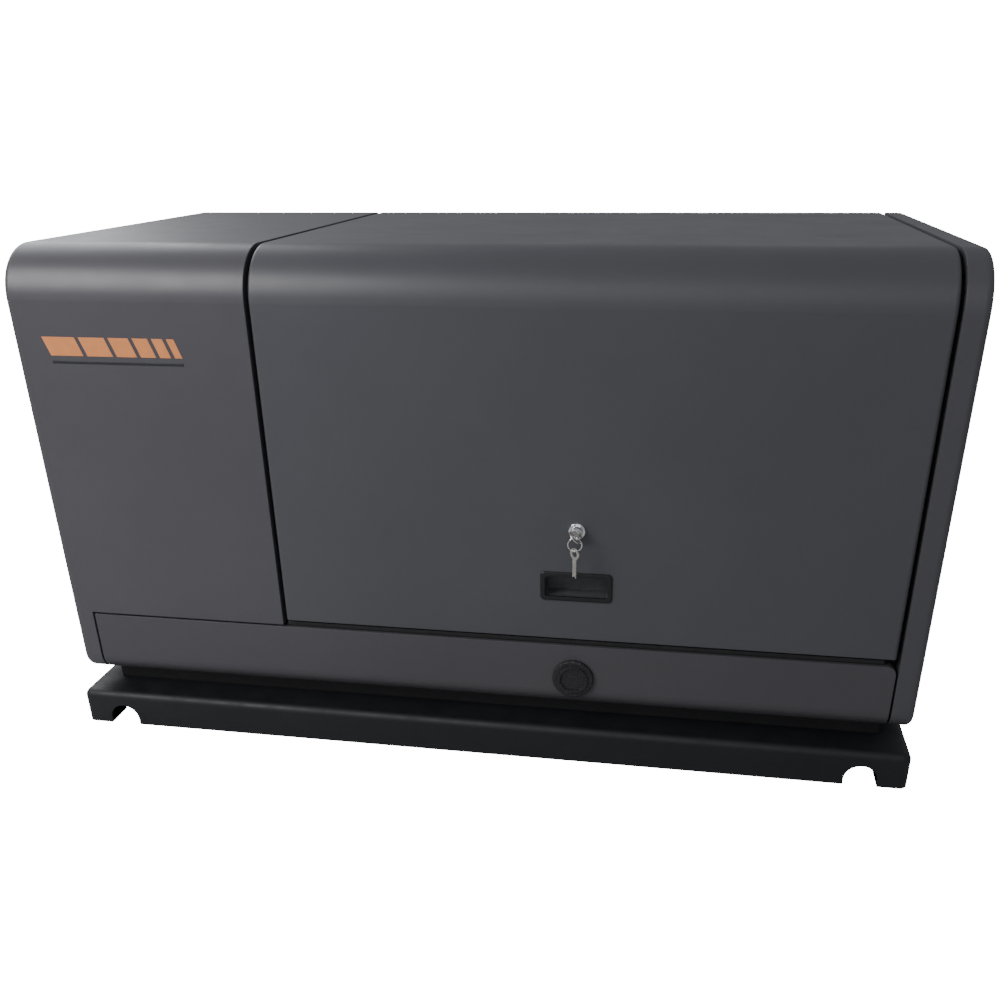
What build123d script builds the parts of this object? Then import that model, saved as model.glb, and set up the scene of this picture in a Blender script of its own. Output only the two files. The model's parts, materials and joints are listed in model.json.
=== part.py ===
from build123d import *
import os
from math import atan2, cos, degrees, hypot, radians, sin

# Home standby generator: sheet steel cabinet with a gull-wing hood, over a gas engine and alternator.
# Millimetres. X runs along the cabinet, Y from its front to its back, Z up from the ground.
# The origin is the middle of the four anchor holes, on the ground.

os.makedirs("parts", exist_ok=True)

# ---- cabinet
cabinet_width = 1200.0
cabinet_depth = 605.0
overall_height = 685.0
roof_radius = 65.0          # front-top bend of every cover
rear_radius = 12.0          # back-top bend
foot_radius = 28.0          # bend under the front and back
end_radius = 9.0            # rolled edges at the two ends of the cabinet
skin = 1.6                  # cover sheet
seam_left = -271.0          # middle of the seam between left cover and hood
seam_right = 567.0          # middle of the seam between hood and right cap
hood_gap = 5.0
sill_height = 97.0          # of the sill panel, above the cabinet's underside
sill_gap = 3.0
hood_lift = 11.0            # dark gap between sill and hood
hood_edge_radius = 5.0
end_strip = 30.0            # strip of the left cover that runs down beside the sill
return_depth = 22.0         # turned-in edges of hood and sill
hoop_inset = 26.0           # outer face of the opening frame, in from the outer skin
hoop_depth = 18.0
hoop_width = 38.0
seal_thickness = 3.2
corner_return = 14.0
flange_reach = 62.5         # turned-in bottom flange, in from the front and back
rear_panel_drop = 21.0      # top of the rear panel, below the roof
frame_wall = 2.5            # of the beam and rail in the opening frame
sill_corner = 12.0          # rounded top right corner of the sill panel
sheet_overlap = 0.5         # length that welded flanges share
flange_step = 0.07          # rise of the bent sheet where the flange meets it

# ---- base and floor
base_height = 52.0
base_reach = 18.5           # base in front of and behind the cabinet
base_end_reach = 3.0
base_wall = 4.0
base_edge_radius = 10.0
base_corner_radius = 12.0
base_flange = 42.0
notch_width = 45.0
notch_height = 31.0
notch_x = 540.0
anchor_x = 470.0
anchor_inset = 26.0
anchor_hole_radius = 6.0
member_width = 60.0
member_wall = 3.0
plinth_height = 26.0
plinth_rail = 30.0
floor_thickness = 3.0
fit_gap = 0.5               # clearance where a piece drops in beside another

# ---- hood hinge, struts and opening angle
liner_inset = 32.0
liner_depth = 16.0          # inner face of the foam, in from the outer skin
liner_back = 58.0           # in front of the hinge
liner_rise = 40.0           # above the lock
hinge_inset = 8.5           # hinge axis, in from the back of the cabinet
hinge_drop = 9.0            # hinge axis, below the roof
barrel_radius = 5.4
hinge_pin_radius = 2.5
running_gap = 0.05          # radial clearance of turning pins
knuckle_count = 16
knuckle_gap = 0.6
strut_foot_inset = 52.5     # pivot on the opening frame, in from the back
strut_foot_drop = 65.0      # and below the roof
strut_reach = 310.0         # pivot on the hood, in front of that, hood closed
strut_rise = 30.0           # and above it
strut_tube_radius = 9.0
strut_rod_radius = 3.5
strut_pin_radius = 4.0
strut_eye_width = 8.0
strut_side_gap = 9.0        # middle of the strut, in from the face of the frame
strut_eye_radius = 10.0
strut_tube_end = 205.0      # open end of the tube, out from the foot pivot
strut_overlap = 36.0        # rod inside the tube's foot end, left clear of the foot pivot
bracket_thickness = 4.0     # plates that carry the strut pivots
leaf_thickness = 3.0

# ---- lock, latch, pull and plug on the front
lock_x = 145.0
lock_height = 157.0         # above the hood's bottom edge
lock_barrel_radius = 8.5
lock_collar_radius = 11.0
lock_proud = 14.0
plug_radius = 6.0
bow_radius = 10.0
bow_reach = 11.5            # middle of the key's bow, in front of the lock
key_tilt = -45.0
spare_turn = 50.0           # spare key turned about Z as it hangs
spare_length = 34.0
spare_thickness = 1.4
bow_hole_radius = 4.4
key_thickness = 1.6
ring_radius = 9.0
ring_wire_radius = 0.8
cam_pin_reach = 9.9         # latch pin from the lock's axis
latch_pin_radius = 2.0
latch_rod_radius = 4.0
slot_gap = 0.5              # round the latch pin in its slot
pull_width = 96.0
pull_height = 41.0
pull_depth = 28.0
pull_below_lock = 79.5
pull_wall = 2.2
cable_plug_x = 143.0
cable_plug_height = 47.0    # above the cabinet's underside
cable_plug_radius = 28.5

# ---- side panels
panel_half_width = 190.0
panel_height = 355.0
panel_lift = 127.0          # above the cabinet's underside
panel_lap = 16.0
louvre_pitch = 26.0
louvre_slot = 12.0
louvre_blade = 16.0
louvre_thickness = 1.2
louvre_angle = 40.0
louvre_rows = 12
louvre_half_width = 75.0
louvre_middle = 92.0
rear_louvre_rows = 9
rear_louvre_half_width = 110.0
rear_louvre_middles = (-420.0, 60.0, 400.0)
rear_louvre_lift = 172.0    # above the cabinet's underside
screw_inset = 30.0          # top and bottom screws of the side panels
rear_screw_inset = 12.0
rear_screw_lift = 72.0      # lowest rear screw, above the cabinet's underside
rear_screw_drop = 24.0      # top rear screws, below the panel's top
gas_inlet_y = -120.0
gas_inlet_height = 62.0     # above the cabinet's underside
cable_outlet_y = 120.0
cable_outlet_height = 62.0
cable_outlet_radius = 22.0
exhaust_y = 245.0
exhaust_radius = 21.0
exhaust_wall = 3.0

# ---- engine and alternator, on one crankshaft along X
crank_y = 20.0
crank_height = 192.0        # above the cabinet's underside
shaft_radius = 16.0
case_left = -180.0
case_right = 10.0
cylinder_x = -85.0
fin_size = 120.0
alternator_right = 290.0
alternator_radius = 121.0
rotor_radius = 79.5
air_gap = 1.0
stator_outer = 115.0
stator_left = 70.0
stator_right = 210.0
case_face = 95.0            # crankcase faces that the cylinders stand on, out from the crankshaft
case_half_width = 110.0
case_depth = 120.0          # bottom of the crankcase, below the crankshaft
case_top = 75.0
head_low = 215.0            # cylinder head, out from the crankshaft
head_high = 258.0
bed_drop = 130.0            # top of the engine bed, below the crankshaft
bed_half_width = 130.0
bed_rail_width = 40.0
bed_rail_height = 28.0
bed_left = -190.0
bed_right = 280.0
mount_radius = 20.0
fan_radius = 104.0
fan_blades = 14
blower_radius = 120.0
blower_depth = 66.0
dip_x = -5.0
dip_forward = 130.0         # dipstick, in front of the crankshaft
dip_rise = 60.0             # top of its tube, above the crankshaft
dip_drop = 110.0            # bottom of its tube, below the crankshaft
dip_radius = 4.0
runner_rise = 208.0         # inlet runner, above the crankshaft
mixer_half_height = 33.5
mixer_drop = 6.5            # middle of the mixer, below the runner
air_cleaner_height = 67.0
air_cleaner_length = 150.0
air_cleaner_depth = 144.0
muffler_x = -430.0
muffler_radius = 72.0
muffler_wall = 3.0
starter_forward = 150.0     # starter, behind the crankshaft
starter_drop = 65.0         # and below it
oil_filter_x = -60.0
oil_filter_drop = 45.0
terminal_box_top = 150.0    # above the crankshaft
terminal_box_x = 150.0

# ---- battery and leads
battery_left = 355.0
battery_right = 528.0
battery_front = 20.0
battery_back = 228.0
battery_height = 197.4
battery_lid = 22.0
post_inset = 30.0
post_back = 40.0
post_height = 15.0
lead_radius = 4.5
lead_rise = 55.0            # red lead, above the battery posts
lead_back = 205.0
curb_gap = 3.0
curb_height = 16.0

# ---- control box
box_left = 330.0
box_width = 190.0
box_depth = 122.0
box_setback = 40.5          # front of the box, in from the hood
box_height = 240.0
box_lift = 282.0            # above the cabinet's underside
box_wall = 2.0
button_radius = 8.0
button_gap = 0.4
button_x = (355.0, 390.0, 425.0)
button_lift = 80.0          # above the bottom of the box
breaker_x = 480.0
breaker_lift = 110.0
breaker_half_width = 25.0
breaker_half_height = 60.0
toggle_width = 10.0
toggle_angle = -20.0
toggle_pin_radius = 1.5
display_left = 345.0
display_right = 435.0
display_lift = 120.0
display_height = 65.0
wire_lift = 95.0            # wiring lead, above the bottom of the box
wire_inset = 69.0           # behind the front of the box
wire_radius = 7.0

# ---- small standard sizes
screw_radius = 3.0
gas_socket_radius = 15.0
screw_head_radius = 6.0
gas_thread_radius = 12.1
gas_thread_length = 18.0
gas_pipe_radius = 11.0
gas_pipe_left = 450.0
gas_valve_x = 518.0
regulator_x = 400.0
regulator_radius = 46.0
regulator_lift = 72.0       # above the cabinet's underside
hose_radius = 9.0
hose_x = 60.0               # where the hose climbs to the mixer
head_middle = 235.0         # spark plug, out from the crankshaft
cylinder_tilt = 45.0

half_width = cabinet_width / 2
half_depth = cabinet_depth / 2
front = -half_depth
cabinet_low = base_height + plinth_height
sill_top = cabinet_low + sill_height
hood_bottom = sill_top + hood_lift
beam_top = sill_top - 5
rear_panel_top = overall_height - rear_panel_drop
hinge_axis_y = half_depth - hinge_inset
hinge_axis_z = overall_height - hinge_drop
strut_foot_y = half_depth - strut_foot_inset
strut_foot_z = overall_height - strut_foot_drop
strut_head_y = strut_foot_y - strut_reach
strut_head_z = strut_foot_z + strut_rise
lock_z = hood_bottom + lock_height
pull_z = lock_z - pull_below_lock
cable_plug_z = cabinet_low + cable_plug_height
panel_low = cabinet_low + panel_lift
panel_high = panel_low + panel_height
gas_inlet_z = cabinet_low + gas_inlet_height
cable_outlet_z = cabinet_low + cable_outlet_height
crank_z = cabinet_low + crank_height
box_right = box_left + box_width
box_front = front + box_setback
box_back = box_front + box_depth
box_low = cabinet_low + box_lift
box_high = box_low + box_height
bed_top = crank_z - bed_drop
bed_low = bed_top - bed_rail_height
stator_radius = rotor_radius + air_gap
dip_y = crank_y - dip_forward
dip_low = crank_z - dip_drop
dip_high = crank_z + dip_rise
runner_z = crank_z + runner_rise
mixer_low = runner_z - mixer_drop - mixer_half_height
mixer_high = runner_z - mixer_drop + mixer_half_height
air_cleaner_high = mixer_high + air_cleaner_height
starter_y = crank_y + starter_forward
starter_z = crank_z - starter_drop
bow_y = front - lock_proud - bow_reach
ring_top = lock_z - 0.6
ring_bottom = ring_top - 2 * ring_radius
regulator_z = cabinet_low + regulator_lift
button_z = box_low + button_lift
breaker_z = box_low + breaker_lift
display_low = box_low + display_lift
display_high = display_low + display_height
wire_y = box_front + wire_inset
wire_z = box_low + wire_lift
floor_low = cabinet_low + skin
floor_top = floor_low + floor_thickness
battery_top = floor_top + battery_height
left_edge = seam_left - hood_gap / 2
hood_left = seam_left + hood_gap / 2
hood_right = seam_right - hood_gap / 2
right_edge = seam_right + hood_gap / 2
sill_left = -half_width + end_strip + sill_gap
sill_right = right_edge - sill_gap
hoop_left_x = seam_left - hoop_width / 2
frame_left = seam_left + hoop_width / 2
frame_right = seam_right - hoop_width / 2
hoop_right_x = seam_right + hoop_width / 2
hoop_front = front + hoop_inset
hoop_under = overall_height - hoop_inset - hoop_depth
rail_front = half_depth - hoop_inset - hoop_depth
member_x = half_width * 0.6
sill_strip_left = seam_left + seal_thickness
latch_x = lock_x + cam_pin_reach * 0.86
latch_y = front + 39.5
cylinder_rise = head_middle * sin(radians(cylinder_tilt))
muffler_z = crank_z + cylinder_rise
case_lean = case_face * 2 ** 0.5
base_half_width = half_width + base_end_reach
base_half_depth = half_depth + base_reach


def block(x0, x1, y0, y1, z0, z1):
    return Pos((x0 + x1) / 2, (y0 + y1) / 2, (z0 + z1) / 2) * Box(abs(x1 - x0), abs(y1 - y0), abs(z1 - z0))


def bar_x(x0, x1, y, z, radius):
    return Pos((x0 + x1) / 2, y, z) * Rot(0, 90, 0) * Cylinder(radius, abs(x1 - x0))


def bar_y(y0, y1, x, z, radius):
    return Pos(x, (y0 + y1) / 2, z) * Rot(90, 0, 0) * Cylinder(radius, abs(y1 - y0))


def bar_z(z0, z1, x, y, radius):
    return Pos(x, y, (z0 + z1) / 2) * Cylinder(radius, abs(z1 - z0))


def edges_along(shape, axis):
    return shape.edges().filter_by(axis)


def outline(inset, low=None):
    # side view of the cabinet, drawn in from the outer skin
    y0 = front + inset
    y1 = half_depth - inset
    top = overall_height - inset
    bottom = cabinet_low + inset if low is None else low
    foot = foot_radius - inset if low is None else 0
    corners = [(y0, bottom, foot), (y0, top, roof_radius - inset), (y1, top, rear_radius - inset),
               (y1, bottom, foot)]
    face = make_face(Polyline(*[(y, z) for y, z, radius in corners], close=True))
    for y, z, radius in corners:
        if radius > 0.5:
            face = fillet(face.vertices().sort_by_distance((y, z))[0], radius)
    return face


def slab(inset, x0, x1, low=None):
    return extrude(Plane.YZ.offset(x0) * outline(inset, low), amount=x1 - x0, dir=(1, 0, 0))


def roll_end(shape, radius, which):
    end = shape.faces().sort_by(Axis.X)[which]
    return fillet(end.edges(), radius)


def save(shape, name):
    parts = shape.solids() if hasattr(shape, "solids") else [shape]
    out = parts[0] if len(parts) == 1 else Compound(children=list(parts))
    export_step(out, "parts/" + name + ".step")
    return shape


# ---- covers -------------------------------------------------------------------------------------
def end_cover(seam_edge):
    # cover at the -X end: bent sheet with its side wall, and a return along the seam
    outer = roll_end(slab(0, -half_width, seam_edge), end_radius, 0)
    inner = roll_end(slab(skin, -half_width + skin, seam_edge + 1), end_radius - skin, 0)
    seam_return = slab(0, seam_edge - skin, seam_edge) - slab(hoop_inset, seam_edge - skin, seam_edge)
    behind = block(seam_edge - 2 * skin, seam_edge + 1, hoop_front, half_depth + 1,
                   cabinet_low - 1, overall_height - hoop_inset - 1)
    cover = outer - inner + (seam_return - behind)
    side = -half_width + corner_return
    floor_hole = block(side, seam_edge + 1, front + flange_reach, half_depth - flange_reach,
                       cabinet_low - 1, floor_low + 2)
    rear_hole = block(side, seam_edge + 1, half_depth - flange_reach, half_depth + 1,
                      cabinet_low - 1, rear_panel_top + sill_gap)
    return cover - floor_hole - rear_hole


def side_opening():
    return block(-half_width - 1, -half_width + 2 * skin, -panel_half_width, panel_half_width,
                 panel_low, panel_high)


def make_left_cover():
    strip_edge = -half_width + end_strip
    cover_low = sill_top + sill_gap
    cover = end_cover(left_edge) - side_opening()
    sill_space = block(strip_edge, left_edge + 1, front - 1, half_depth + 1, cabinet_low - 1, cover_low)
    lower_return = block(strip_edge - skin, left_edge, front + skin / 2, hoop_front,
                         cover_low, cover_low + skin)
    strip_return = block(strip_edge - skin, strip_edge, front + skin / 2, front + return_depth,
                         cabinet_low, cover_low + skin)
    strip_return = strip_return & slab(0, strip_edge - skin, strip_edge)
    cover = cover - sill_space + lower_return + strip_return
    cover -= bar_x(-half_width - 2, -half_width + 3, exhaust_y, muffler_z, exhaust_radius + 4)
    return cover


def make_right_cap():
    cap = mirror(end_cover(-right_edge) - side_opening(), about=Plane.YZ)
    cap -= bar_x(half_width - 3, half_width + 2, gas_inlet_y, gas_inlet_z, gas_socket_radius + fit_gap)
    cap -= bar_x(half_width - 3, half_width + 2, cable_outlet_y, cable_outlet_z, cable_outlet_radius)
    return cap


def make_front_sill():
    depth = hoop_inset
    outer = slab(0, sill_left, sill_right) & block(sill_left, sill_right, front - 1, front + depth,
                                                   cabinet_low - 1, sill_top)
    inner = slab(skin, sill_left + skin, sill_right - skin)
    inner = inner & block(sill_left + skin, sill_right - skin, front, front + depth + 1,
                          cabinet_low, sill_top - skin)
    top_right = edges_along(outer, Axis.Y).group_by(Axis.Z)[-1].sort_by(Axis.X)[-1]
    outer = fillet(top_right, sill_corner)
    inner_right = edges_along(inner, Axis.Y).group_by(Axis.Z)[-1].sort_by(Axis.X)[-1]
    inner = fillet(inner_right, sill_corner - skin)
    flange = block(sill_left, sill_right, front + depth - sheet_overlap, front + flange_reach,
                   cabinet_low + flange_step, floor_low)
    sill = outer - inner + flange
    return sill - bar_y(front - 1, front + 3, cable_plug_x, cable_plug_z, cable_plug_radius - 8)


def make_rear_panel():
    x1 = half_width - corner_return - 1
    sheet = slab(0, -x1, x1) - slab(skin, -x1 - 1, x1 + 1)
    sheet = sheet & block(-x1, x1, half_depth - flange_reach, half_depth + 1, cabinet_low - 1, rear_panel_top)
    reach = rear_louvre_half_width
    for middle in rear_louvre_middles:
        for row in range(rear_louvre_rows):
            z = cabinet_low + rear_louvre_lift + row * louvre_pitch
            sheet -= block(middle - reach, middle + reach, half_depth - 3, half_depth + 1, z, z + louvre_slot)
            blade = Pos(0, -louvre_blade / 2, 0) * Box(2 * reach, louvre_blade, louvre_thickness)
            blade = Pos(middle, half_depth - skin / 2, z + louvre_slot) * Rot(-louvre_angle, 0, 0) * blade
            sheet += blade & block(middle - reach, middle + reach, 0, half_depth,
                                   z - louvre_pitch, z + louvre_pitch)
    for x, z in rear_screws():
        sheet -= bar_y(half_depth - 5, half_depth + 1, x, z, screw_radius)
    return sheet


def side_panel():
    # louvred service panel at the -X end, lapped behind the edge of its opening
    x0 = -half_width + skin
    panel = block(x0, x0 + skin, -panel_half_width - panel_lap, panel_half_width + panel_lap,
                  panel_low - panel_lap, panel_high + panel_lap)
    reach = louvre_half_width
    for middle in (-louvre_middle, louvre_middle):
        for row in range(louvre_rows):
            z = panel_low + louvre_slot * 1.5 + row * louvre_pitch
            panel -= block(x0 - 1, x0 + 3, middle - reach, middle + reach, z, z + louvre_slot)
            blade = Pos(louvre_blade / 2, 0, 0) * Box(louvre_blade, 2 * reach, louvre_thickness)
            blade = Pos(x0 + skin / 2, middle, z + louvre_slot) * Rot(0, louvre_angle, 0) * blade
            panel += blade & block(x0, x0 + 2 * louvre_blade, middle - reach, middle + reach,
                                   z - louvre_pitch, z + louvre_pitch)
    return panel


def side_screws():
    y = panel_half_width + panel_lap / 2
    heights = (panel_low + screw_inset, (panel_low + panel_high) / 2, panel_high - screw_inset)
    return [(side * y, z) for side in (-1, 1) for z in heights]


def rear_screws():
    x = half_width - corner_return - rear_screw_inset
    low = cabinet_low + rear_screw_lift
    high = rear_panel_top - rear_screw_drop
    heights = [low + (high - low) * i / 3 for i in range(4)]
    return [(side * x, z) for side in (-1, 1) for z in heights] + [(-x / 5, high), (x * 2 / 5, high)]


def screw_holes():
    return [bar_x(-half_width - 1, -half_width + 4, y, z, screw_radius) for y, z in side_screws()]


def make_panel_screws():
    screws = []
    for y, z in side_screws():
        for side in (-1, 1):
            x = side * half_width
            screw = bar_x(x - side * 2 * skin, x, y, z, screw_radius)
            head = bar_x(x, x + side * base_end_reach, y, z, screw_head_radius)
            screws.append(screw + head)
    for x, z in rear_screws():
        screw = bar_y(half_depth - 8, half_depth, x, z, screw_radius)
        screws.append(screw + bar_y(half_depth, half_depth + base_end_reach, x, z, screw_head_radius))
    return Compound(children=screws)


# ---- hood ---------------------------------------------------------------------------------------
def hood_space(inset, x0, x1, roll):
    shape = slab(inset, x0, x1)
    shape = roll_end(shape, roll, 0)
    shape = roll_end(shape, roll, -1)
    return shape & block(x0, x1, front - 1, half_depth + 1, hood_bottom + inset, overall_height + 1)


def make_hood_skin():
    outer = hood_space(0, hood_left, hood_right, hood_edge_radius)
    deep = slab(return_depth, hood_left - 1, hood_right + 1)
    inner = hood_space(skin, hood_left + skin, hood_right - skin, hood_edge_radius - skin)
    hood = outer - deep - inner
    hood -= block(hood_left - 1, hood_right + 1, half_depth - return_depth - 1, half_depth + 1,
                  hood_bottom - 1, hinge_axis_z + 1)
    hood -= block(lock_x - pull_width / 2 + 4, lock_x + pull_width / 2 - 4, front - 1, front + 3,
                  pull_z - pull_height / 2 + 4, pull_z + pull_height / 2 - 4)
    hood -= bar_y(front - 1, front + 3, lock_x, lock_z, lock_barrel_radius)
    guide_hole = bar_z(hood_bottom, lock_z, latch_x, latch_y, latch_rod_radius + 0.3)
    for z in (hood_bottom + 16, lock_z - 36):
        tab = block(latch_x - 8, latch_x + 8, front + skin, latch_y + 8, z, z + 6)
        hood += tab - guide_hole
    for side in (-1, 1):
        inner_face = strut_x(side) - side * (strut_eye_width / 2 + strut_side_gap - 4)
        plate = block(inner_face, inner_face - side * leaf_thickness, strut_head_y - 16, strut_head_y + 16,
                      strut_head_z - 8, overall_height - skin)
        stud = bar_x(inner_face, strut_x(side) - side * (strut_eye_width / 2 + fit_gap),
                     strut_head_y, strut_head_z, strut_pin_radius)
        hood += plate + stud
    return hood


def make_hood_liner():
    x0 = frame_left + liner_inset
    x1 = frame_right - liner_inset
    foam = slab(skin, x0, x1) - slab(liner_depth, x0 - 1, x1 + 1)
    return foam & block(x0, x1, front, hinge_axis_y - liner_back, lock_z + liner_rise, overall_height)


def make_flush_pull():
    z0 = pull_z - pull_height / 2
    z1 = pull_z + pull_height / 2
    x0 = lock_x - pull_width / 2
    x1 = lock_x + pull_width / 2
    bezel = block(x0, x1, front - 2.5, front, z0, z1)
    bezel = fillet(edges_along(bezel, Axis.Y), 6)
    bezel = chamfer(bezel.faces().sort_by(Axis.Y)[0].edges(), 1.4)
    cup = block(x0 + 4, x1 - 4, front, front + pull_depth, z0 + 4, z1 - 4)
    hollow = block(x0 + 4 + pull_wall, x1 - 4 - pull_wall, front - 3, front + pull_depth - pull_wall,
                   z0 + 4 + pull_wall, z1 - 4 - pull_wall)
    hollow = fillet(edges_along(hollow, Axis.Y), 3)
    return bezel + cup - hollow


# ---- hinge --------------------------------------------------------------------------------------
def knuckles(which):
    pitch = (frame_right - frame_left - 4) / knuckle_count
    spans = []
    for i in range(knuckle_count):
        if i % 2 == which:
            x0 = frame_left + 2 + i * pitch
            spans.append((x0 + knuckle_gap / 2, x0 + pitch - knuckle_gap / 2))
    return spans


def make_fixed_leaf():
    x0 = frame_left + 2
    x1 = frame_right - 2
    leaf = block(x0, x1, hinge_axis_y - leaf_thickness, hinge_axis_y, hoop_under - 4, hinge_axis_z - 7)
    for a, b in knuckles(0):
        arm = block(a, b, hinge_axis_y - leaf_thickness, hinge_axis_y, hinge_axis_z - 8, hinge_axis_z)
        leaf += arm + bar_x(a, b, hinge_axis_y, hinge_axis_z, barrel_radius)
    return leaf - bar_x(x0, x1, hinge_axis_y, hinge_axis_z, hinge_pin_radius)


def make_moving_leaf():
    x0 = frame_left + 2
    x1 = frame_right - 2
    top = overall_height - skin
    leaf = block(x0, x1, hinge_axis_y - 44, hinge_axis_y - 7, top - leaf_thickness, top)
    for a, b in knuckles(1):
        arm = block(a, b, hinge_axis_y - 8, hinge_axis_y - 3.6, top - 4.5, top)
        leaf += arm + bar_x(a, b, hinge_axis_y, hinge_axis_z, barrel_radius)
    return leaf - bar_x(x0, x1, hinge_axis_y, hinge_axis_z, hinge_pin_radius + running_gap)


def make_hinge_pin():
    return bar_x(frame_left + 1, frame_right - 1, hinge_axis_y, hinge_axis_z, hinge_pin_radius)


# ---- struts -------------------------------------------------------------------------------------
def strut_x(side):
    return frame_left + strut_side_gap if side < 0 else frame_right - strut_side_gap


strut_length = hypot(strut_head_y - strut_foot_y, strut_head_z - strut_foot_z)
strut_turn = degrees(atan2(strut_head_z - strut_foot_z, strut_head_y - strut_foot_y))


def strut_place(side):
    # local +X runs from the foot pivot to the head pivot, local Z along the hinge axis
    plane = Plane(origin=(strut_x(side), strut_foot_y, strut_foot_z),
                  x_dir=(0, cos(radians(strut_turn)), sin(radians(strut_turn))), z_dir=(1, 0, 0))
    return plane.location


def make_strut_tubes():
    tube = bar_x(16, strut_tube_end, 0, 0, strut_tube_radius)
    eye = Cylinder(strut_eye_radius, strut_eye_width)
    eye += Pos(strut_eye_radius, 0, 0) * Box(16, 12, strut_eye_width - 1)
    bore = bar_x(strut_overlap, strut_tube_end + 1, 0, 0, strut_rod_radius + running_gap)
    one = tube + eye - bore - Cylinder(strut_pin_radius + running_gap, 3 * strut_eye_width)
    return Compound(children=[strut_place(side) * one for side in (-1, 1)])


def make_strut_rods():
    rod = bar_x(strut_overlap + 12, strut_length - 8, 0, 0, strut_rod_radius)
    eye = Pos(strut_length, 0, 0) * Cylinder(strut_eye_radius, strut_eye_width)
    one = rod + eye - Pos(strut_length, 0, 0) * Cylinder(strut_pin_radius + 0.3, 3 * strut_eye_width)
    return Compound(children=[strut_place(side) * one for side in (-1, 1)])


# ---- base, floor and frame ----------------------------------------------------------------------
def make_base_tray():
    x1 = base_half_width
    y1 = base_half_depth
    tray = block(-x1, x1, -y1, y1, 0, base_height)
    tray = fillet(edges_along(tray, Axis.Z), base_corner_radius)
    tray = fillet(tray.faces().sort_by(Axis.Z)[-1].edges(), base_edge_radius)
    hollow = block(-x1 + base_wall, x1 - base_wall, -y1 + base_wall, y1 - base_wall,
                   base_wall, base_height - base_wall)
    hollow = fillet(edges_along(hollow, Axis.Z), base_corner_radius - base_wall)
    hollow = fillet(hollow.faces().sort_by(Axis.Z)[-1].edges(), base_edge_radius - base_wall)
    floor_hole = block(-x1 + base_wall, x1 - base_wall, -y1 + base_flange, y1 - base_flange,
                       -1, base_wall + 1)
    tray = tray - hollow - floor_hole
    for side in (-1, 1):
        x = side * notch_x
        spring = notch_height - notch_width / 2
        arch = bar_y(-y1 - 1, y1 + 1, x, spring, notch_width / 2)
        gate = block(x - notch_width / 2, x + notch_width / 2, -y1 - 1, y1 + 1, -1, spring)
        tray -= arch + gate
        for end in (-1, 1):
            tray -= bar_z(-1, base_wall + 1, side * anchor_x, end * (y1 - anchor_inset), anchor_hole_radius)
    return tray


def make_cross_members():
    members = []
    y1 = base_half_depth - base_edge_radius
    for x in (-member_x, 0, member_x):
        hat = block(x - member_width / 2, x + member_width / 2, -y1, y1, base_wall, base_height - base_wall)
        hat -= block(x - member_width / 2 + member_wall, x + member_width / 2 - member_wall, -y1 - 1, y1 + 1,
                     base_wall - 1, base_height - base_wall - member_wall)
        members.append(hat)
    return Compound(children=members)


def make_plinth_frame():
    x1 = half_width - plinth_rail - 4
    y1 = half_depth - plinth_rail - 6
    ring = block(-x1, x1, -y1, y1, base_height, cabinet_low)
    ring -= block(-x1 + plinth_rail, x1 - plinth_rail, -y1 + plinth_rail, y1 - plinth_rail,
                  base_height - 1, cabinet_low + 1)
    return ring


def make_floor_pan():
    x1 = half_width - end_radius - 3
    y1 = half_depth - foot_radius - 3
    pan = block(-x1, x1, -y1, y1, floor_low, floor_top)
    curb = block(battery_left - curb_gap, battery_right + curb_gap, battery_front - curb_gap,
                 battery_back + curb_gap, floor_top - 1, floor_top + curb_height)
    curb -= block(battery_left, battery_right, battery_front, battery_back,
                  floor_top - 2, floor_top + curb_height + 1)
    return pan + curb


def hoop(x0, x1):
    ring = slab(hoop_inset, x0, x1, floor_top)
    return ring - slab(hoop_inset + hoop_depth, x0 - 1, x1 + 1, floor_top - 1)


def make_opening_frame():
    # two hoops, a box beam with the latch keeper behind the sill, and the rail that carries the hinge
    wall = frame_wall
    frame = hoop(hoop_left_x, frame_left) + hoop(frame_right, hoop_right_x)
    beam = block(frame_left, frame_right, hoop_front, hoop_front + 30, beam_top - 40, beam_top)
    beam -= block(frame_left, frame_right, hoop_front + wall, hoop_front + 30 - wall,
                  beam_top - 40 + wall, beam_top - wall)
    beam -= bar_z(beam_top - 5, beam_top + 1, latch_x, latch_y, latch_rod_radius + 1.5)
    rail_back = hinge_axis_y - leaf_thickness
    rail = block(frame_left, frame_right, rail_front, rail_back, hoop_under, hoop_under + hoop_depth)
    rail -= block(frame_left, frame_right, rail_front + wall, rail_back - wall,
                  hoop_under + wall, hoop_under + hoop_depth - wall)
    frame = frame + beam + rail
    for side in (-1, 1):
        face = frame_left if side < 0 else frame_right
        frame += block(face, face + side * bracket_thickness, strut_foot_y - 14, half_depth - hoop_inset - 2,
                       strut_foot_z - 14, hoop_under + 2)
        frame += bar_x(face, strut_x(side) - side * strut_eye_width / 2, strut_foot_y, strut_foot_z,
                       strut_pin_radius)
    return frame


def make_bulkhead():
    x1 = hoop_left_x
    sheet = slab(hoop_inset + 2, x1 - 2, x1, floor_top)
    for side in (-1, 1):
        sheet -= bar_x(x1 - 3, x1 + 1, crank_y + side * cylinder_rise, muffler_z, 20)
    return sheet - bar_x(x1 - 3, x1 + 1, crank_y, crank_z, 95)


def make_hood_seal():
    low = hood_bottom + 6
    spans = [(frame_left - 16, frame_left - 1), (frame_right + 1, frame_right + 16)]
    strips = []
    for a, b in spans:
        strip = slab(hoop_inset - seal_thickness, a, b) - slab(hoop_inset, a - 1, b + 1)
        strips.append(strip & block(a, b, front, half_depth - 40, low, overall_height))
    sill_strip = block(sill_strip_left, sill_right - 16, front + 4.5, front + 18, sill_top, sill_top + 7.5)
    strips.append(fillet(edges_along(sill_strip, Axis.X), 2))
    return Compound(children=strips)


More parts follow.
